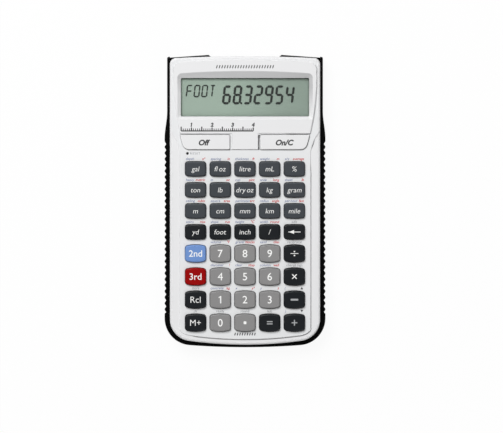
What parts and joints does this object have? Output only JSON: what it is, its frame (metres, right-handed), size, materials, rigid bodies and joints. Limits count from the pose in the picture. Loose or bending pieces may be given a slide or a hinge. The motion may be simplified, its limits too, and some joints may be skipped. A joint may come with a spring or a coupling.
{
  "type": "construction calculator",
  "caption": "Hand-held construction calculator with a sloped display recess, rows of unit and digit keys, and a black slide cover stowed behind it.",
  "frame": {"origin": "on the surface that it lies on, under the middle of the whole calculator with its cover stowed behind it", "axes": "+Z out of the key face, +Y towards the display end, +X to the right of someone who reads the keys"},
  "size_m": [0.0784, 0.143, 0.0152],
  "materials": {
    "silver_shell": "fine matte silver-white",
    "black_cover": "fine matte black",
    "slate_key": "satin",
    "black_key": "satin",
    "grey_key": "satin",
    "blue_key": "satin",
    "red_key": "satin",
    "clear_lens": "clear",
    "display_glass": "matte polariser",
    "grey_plastic": "matte",
    "rubber": "matte",
    "circuit_green": "solder mask",
    "epoxy": "gloss",
    "steel": "plain"
  },
  "bodies": {
    "calculator": {"front_housing": "silver_shell", "rear_housing": "silver_shell", "housing_screw_1": "steel", "housing_screw_2": "steel", "housing_screw_3": "steel", "housing_screw_4": "steel", "display_lens": "clear_lens", "display_glass": "display_glass", "display_holder": "grey_plastic", "contact_strip": "rubber", "circuit_board": "circuit_green", "chip_cap": "epoxy", "rubber_keypad": "rubber", "battery_contact": "steel"},
    "cover": {"slide_cover": "black_cover"},
    "battery_drawer": {"battery_tray": "silver_shell", "coin_cell": "steel"},
    "reset_pin": {"reset_plunger": "grey_plastic"},
    "button_off": {"key_off": "silver_shell"},
    "button_on_clear": {"key_on_clear": "silver_shell"},
    "button_memory_plus": {"key_memory_plus": "black_key"},
    "button_0": {"key_0": "grey_key"},
    "button_point": {"key_point": "grey_key"},
    "button_equals": {"key_equals": "black_key"},
    "button_plus": {"key_plus": "black_key"},
    "button_recall": {"key_recall": "black_key"},
    "button_1": {"key_1": "grey_key"},
    "button_2": {"key_2": "grey_key"},
    "button_3": {"key_3": "grey_key"},
    "button_minus": {"key_minus": "black_key"},
    "button_third": {"key_third": "red_key"},
    "button_4": {"key_4": "grey_key"},
    "button_5": {"key_5": "grey_key"},
    "button_6": {"key_6": "grey_key"},
    "button_multiply": {"key_multiply": "black_key"},
    "button_second": {"key_second": "blue_key"},
    "button_7": {"key_7": "grey_key"},
    "button_8": {"key_8": "grey_key"},
    "button_9": {"key_9": "grey_key"},
    "button_divide": {"key_divide": "black_key"},
    "button_yard": {"key_yard": "black_key"},
    "button_foot": {"key_foot": "black_key"},
    "button_inch": {"key_inch": "black_key"},
    "button_fraction": {"key_fraction": "black_key"},
    "button_backspace": {"key_backspace": "black_key"},
    "button_metre": {"key_metre": "slate_key"},
    "button_centimetre": {"key_centimetre": "slate_key"},
    "button_millimetre": {"key_millimetre": "slate_key"},
    "button_kilometre": {"key_kilometre": "slate_key"},
    "button_mile": {"key_mile": "slate_key"},
    "button_ton": {"key_ton": "slate_key"},
    "button_pound": {"key_pound": "slate_key"},
    "button_dry_ounce": {"key_dry_ounce": "slate_key"},
    "button_kilogram": {"key_kilogram": "slate_key"},
    "button_gram": {"key_gram": "slate_key"},
    "button_gallon": {"key_gallon": "slate_key"},
    "button_fluid_ounce": {"key_fluid_ounce": "slate_key"},
    "button_litre": {"key_litre": "slate_key"},
    "button_millilitre": {"key_millilitre": "slate_key"},
    "button_percent": {"key_percent": "slate_key"}
  },
  "joints": [
    {"name": "cover_slide", "type": "slide", "parent": "calculator", "child": "cover", "axis": [0, -1, 0], "range_m": [0, 0.145]},
    {"name": "battery_drawer_slide", "type": "slide", "parent": "calculator", "child": "battery_drawer", "axis": [0, 1, 0], "range_m": [0, 0.026]},
    {"name": "reset_press", "type": "slide", "parent": "calculator", "child": "reset_pin", "axis": [0, 0, -1], "range_m": [0, 0.0003], "stiffness_N_per_m": 300, "springref_m": -0.0006},
    {"name": "press_off", "type": "slide", "parent": "calculator", "child": "button_off", "axis": [0, 0, -1], "range_m": [0, 0.0008], "stiffness_N_per_m": 400, "springref_m": -0.001},
    {"name": "press_on_clear", "type": "slide", "parent": "calculator", "child": "button_on_clear", "axis": [0, 0, -1], "range_m": [0, 0.0008], "stiffness_N_per_m": 400, "springref_m": -0.001},
    {"name": "press_memory_plus", "type": "slide", "parent": "calculator", "child": "button_memory_plus", "axis": [0, 0, -1], "range_m": [0, 0.0008], "stiffness_N_per_m": 400, "springref_m": -0.001},
    {"name": "press_0", "type": "slide", "parent": "calculator", "child": "button_0", "axis": [0, 0, -1], "range_m": [0, 0.0008], "stiffness_N_per_m": 400, "springref_m": -0.001},
    {"name": "press_point", "type": "slide", "parent": "calculator", "child": "button_point", "axis": [0, 0, -1], "range_m": [0, 0.0008], "stiffness_N_per_m": 400, "springref_m": -0.001},
    {"name": "press_equals", "type": "slide", "parent": "calculator", "child": "button_equals", "axis": [0, 0, -1], "range_m": [0, 0.0008], "stiffness_N_per_m": 400, "springref_m": -0.001},
    {"name": "press_plus", "type": "slide", "parent": "calculator", "child": "button_plus", "axis": [0, 0, -1], "range_m": [0, 0.0008], "stiffness_N_per_m": 400, "springref_m": -0.001},
    {"name": "press_recall", "type": "slide", "parent": "calculator", "child": "button_recall", "axis": [0, 0, -1], "range_m": [0, 0.0008], "stiffness_N_per_m": 400, "springref_m": -0.001},
    {"name": "press_1", "type": "slide", "parent": "calculator", "child": "button_1", "axis": [0, 0, -1], "range_m": [0, 0.0008], "stiffness_N_per_m": 400, "springref_m": -0.001},
    {"name": "press_2", "type": "slide", "parent": "calculator", "child": "button_2", "axis": [0, 0, -1], "range_m": [0, 0.0008], "stiffness_N_per_m": 400, "springref_m": -0.001},
    {"name": "press_3", "type": "slide", "parent": "calculator", "child": "button_3", "axis": [0, 0, -1], "range_m": [0, 0.0008], "stiffness_N_per_m": 400, "springref_m": -0.001},
    {"name": "press_minus", "type": "slide", "parent": "calculator", "child": "button_minus", "axis": [0, 0, -1], "range_m": [0, 0.0008], "stiffness_N_per_m": 400, "springref_m": -0.001},
    {"name": "press_third", "type": "slide", "parent": "calculator", "child": "button_third", "axis": [0, 0, -1], "range_m": [0, 0.0008], "stiffness_N_per_m": 400, "springref_m": -0.001},
    {"name": "press_4", "type": "slide", "parent": "calculator", "child": "button_4", "axis": [0, 0, -1], "range_m": [0, 0.0008], "stiffness_N_per_m": 400, "springref_m": -0.001},
    {"name": "press_5", "type": "slide", "parent": "calculator", "child": "button_5", "axis": [0, 0, -1], "range_m": [0, 0.0008], "stiffness_N_per_m": 400, "springref_m": -0.001},
    {"name": "press_6", "type": "slide", "parent": "calculator", "child": "button_6", "axis": [0, 0, -1], "range_m": [0, 0.0008], "stiffness_N_per_m": 400, "springref_m": -0.001},
    {"name": "press_multiply", "type": "slide", "parent": "calculator", "child": "button_multiply", "axis": [0, 0, -1], "range_m": [0, 0.0008], "stiffness_N_per_m": 400, "springref_m": -0.001},
    {"name": "press_second", "type": "slide", "parent": "calculator", "child": "button_second", "axis": [0, 0, -1], "range_m": [0, 0.0008], "stiffness_N_per_m": 400, "springref_m": -0.001},
    {"name": "press_7", "type": "slide", "parent": "calculator", "child": "button_7", "axis": [0, 0, -1], "range_m": [0, 0.0008], "stiffness_N_per_m": 400, "springref_m": -0.001},
    {"name": "press_8", "type": "slide", "parent": "calculator", "child": "button_8", "axis": [0, 0, -1], "range_m": [0, 0.0008], "stiffness_N_per_m": 400, "springref_m": -0.001},
    {"name": "press_9", "type": "slide", "parent": "calculator", "child": "button_9", "axis": [0, 0, -1], "range_m": [0, 0.0008], "stiffness_N_per_m": 400, "springref_m": -0.001},
    {"name": "press_divide", "type": "slide", "parent": "calculator", "child": "button_divide", "axis": [0, 0, -1], "range_m": [0, 0.0008], "stiffness_N_per_m": 400, "springref_m": -0.001},
    {"name": "press_yard", "type": "slide", "parent": "calculator", "child": "button_yard", "axis": [0, 0, -1], "range_m": [0, 0.0008], "stiffness_N_per_m": 400, "springref_m": -0.001},
    {"name": "press_foot", "type": "slide", "parent": "calculator", "child": "button_foot", "axis": [0, 0, -1], "range_m": [0, 0.0008], "stiffness_N_per_m": 400, "springref_m": -0.001},
    {"name": "press_inch", "type": "slide", "parent": "calculator", "child": "button_inch", "axis": [0, 0, -1], "range_m": [0, 0.0008], "stiffness_N_per_m": 400, "springref_m": -0.001},
    {"name": "press_fraction", "type": "slide", "parent": "calculator", "child": "button_fraction", "axis": [0, 0, -1], "range_m": [0, 0.0008], "stiffness_N_per_m": 400, "springref_m": -0.001},
    {"name": "press_backspace", "type": "slide", "parent": "calculator", "child": "button_backspace", "axis": [0, 0, -1], "range_m": [0, 0.0008], "stiffness_N_per_m": 400, "springref_m": -0.001},
    {"name": "press_metre", "type": "slide", "parent": "calculator", "child": "button_metre", "axis": [0, 0, -1], "range_m": [0, 0.0008], "stiffness_N_per_m": 400, "springref_m": -0.001},
    {"name": "press_centimetre", "type": "slide", "parent": "calculator", "child": "button_centimetre", "axis": [0, 0, -1], "range_m": [0, 0.0008], "stiffness_N_per_m": 400, "springref_m": -0.001},
    {"name": "press_millimetre", "type": "slide", "parent": "calculator", "child": "button_millimetre", "axis": [0, 0, -1], "range_m": [0, 0.0008], "stiffness_N_per_m": 400, "springref_m": -0.001},
    {"name": "press_kilometre", "type": "slide", "parent": "calculator", "child": "button_kilometre", "axis": [0, 0, -1], "range_m": [0, 0.0008], "stiffness_N_per_m": 400, "springref_m": -0.001},
    {"name": "press_mile", "type": "slide", "parent": "calculator", "child": "button_mile", "axis": [0, 0, -1], "range_m": [0, 0.0008], "stiffness_N_per_m": 400, "springref_m": -0.001},
    {"name": "press_ton", "type": "slide", "parent": "calculator", "child": "button_ton", "axis": [0, 0, -1], "range_m": [0, 0.0008], "stiffness_N_per_m": 400, "springref_m": -0.001},
    {"name": "press_pound", "type": "slide", "parent": "calculator", "child": "button_pound", "axis": [0, 0, -1], "range_m": [0, 0.0008], "stiffness_N_per_m": 400, "springref_m": -0.001},
    {"name": "press_dry_ounce", "type": "slide", "parent": "calculator", "child": "button_dry_ounce", "axis": [0, 0, -1], "range_m": [0, 0.0008], "stiffness_N_per_m": 400, "springref_m": -0.001},
    {"name": "press_kilogram", "type": "slide", "parent": "calculator", "child": "button_kilogram", "axis": [0, 0, -1], "range_m": [0, 0.0008], "stiffness_N_per_m": 400, "springref_m": -0.001},
    {"name": "press_gram", "type": "slide", "parent": "calculator", "child": "button_gram", "axis": [0, 0, -1], "range_m": [0, 0.0008], "stiffness_N_per_m": 400, "springref_m": -0.001},
    {"name": "press_gallon", "type": "slide", "parent": "calculator", "child": "button_gallon", "axis": [0, 0, -1], "range_m": [0, 0.0008], "stiffness_N_per_m": 400, "springref_m": -0.001},
    {"name": "press_fluid_ounce", "type": "slide", "parent": "calculator", "child": "button_fluid_ounce", "axis": [0, 0, -1], "range_m": [0, 0.0008], "stiffness_N_per_m": 400, "springref_m": -0.001},
    {"name": "press_litre", "type": "slide", "parent": "calculator", "child": "button_litre", "axis": [0, 0, -1], "range_m": [0, 0.0008], "stiffness_N_per_m": 400, "springref_m": -0.001},
    {"name": "press_millilitre", "type": "slide", "parent": "calculator", "child": "button_millilitre", "axis": [0, 0, -1], "range_m": [0, 0.0008], "stiffness_N_per_m": 400, "springref_m": -0.001},
    {"name": "press_percent", "type": "slide", "parent": "calculator", "child": "button_percent", "axis": [0, 0, -1], "range_m": [0, 0.0008], "stiffness_N_per_m": 400, "springref_m": -0.001}
  ]
}
